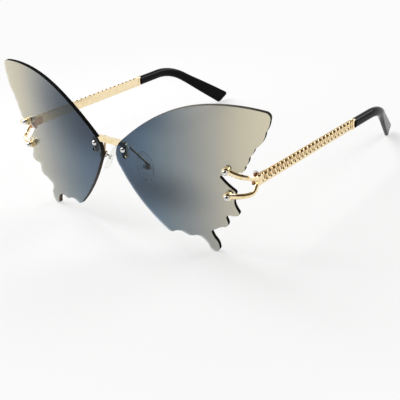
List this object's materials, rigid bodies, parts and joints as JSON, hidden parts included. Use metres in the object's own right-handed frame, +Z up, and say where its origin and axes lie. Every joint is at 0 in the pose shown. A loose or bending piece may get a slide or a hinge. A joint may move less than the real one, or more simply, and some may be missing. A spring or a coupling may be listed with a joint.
{
  "type": "butterfly sunglasses",
  "caption": "Rimless butterfly sunglasses with gradient tinted lenses, gold forked endpieces and curb chain temples.",
  "frame": {"origin": "centre of the bounding box in plan, on the surface that the glasses stand on", "axes": "+X to the wearer's left, +Y from the lenses to the temple tips, +Z up"},
  "size_m": [0.1504, 0.1712, 0.0703],
  "materials": {
    "tinted_lens": "polished, tinted",
    "gold_plate": "polished, plated",
    "hinge_brass": "polished",
    "silver_plate": "polished",
    "black_tip": "gloss",
    "clear_pad": "clear, soft",
    "clear_bush": "clear"
  },
  "bodies": {
    "front": {"lens_left": "tinted_lens", "lens_right": "tinted_lens", "pad_arm_left": "gold_plate", "pad_arm_right": "gold_plate", "pad_box_left": "gold_plate", "pad_box_right": "gold_plate", "fork_left": "gold_plate", "fork_right": "gold_plate", "front_hinge_left": "hinge_brass", "front_hinge_right": "hinge_brass", "hinge_screw_left": "silver_plate", "hinge_screw_right": "silver_plate", "bridge": "gold_plate", "bridge_screws": "silver_plate", "bridge_nuts": "silver_plate", "lens_bushes": "clear_bush", "pad_screws": "silver_plate", "fork_screws": "silver_plate", "fork_washers": "clear_bush", "fork_nuts": "silver_plate"},
    "left_temple": {"temple_left": "gold_plate", "temple_hinge_left": "hinge_brass", "collar_left": "gold_plate", "temple_tip_left": "black_tip"},
    "left_pad": {"nose_pad_left": "clear_pad", "pad_insert_left": "silver_plate"},
    "right_temple": {"temple_right": "gold_plate", "temple_hinge_right": "hinge_brass", "collar_right": "gold_plate", "temple_tip_right": "black_tip"},
    "right_pad": {"nose_pad_right": "clear_pad", "pad_insert_right": "silver_plate"}
  },
  "joints": [
    {"name": "hinge_left", "type": "hinge", "parent": "front", "child": "left_temple", "pos_m": [0.06423, -0.06562, 0.0361], "axis": [0, 0, 1], "range_deg": [0, 82]},
    {"name": "hinge_right", "type": "hinge", "parent": "front", "child": "right_temple", "pos_m": [-0.06423, -0.06562, 0.0361], "axis": [0, 0, -1], "range_deg": [0, 91]},
    {"name": "pad_rock_left", "type": "hinge", "parent": "front", "child": "left_pad", "pos_m": [0.01248, -0.07352, 0.03347], "axis": [0.4226, 0.9063, 0], "range_deg": [-10, 10]},
    {"name": "pad_rock_right", "type": "hinge", "parent": "front", "child": "right_pad", "pos_m": [-0.01248, -0.07352, 0.03347], "axis": [-0.4226, 0.9063, 0], "range_deg": [-10, 10]}
  ]
}
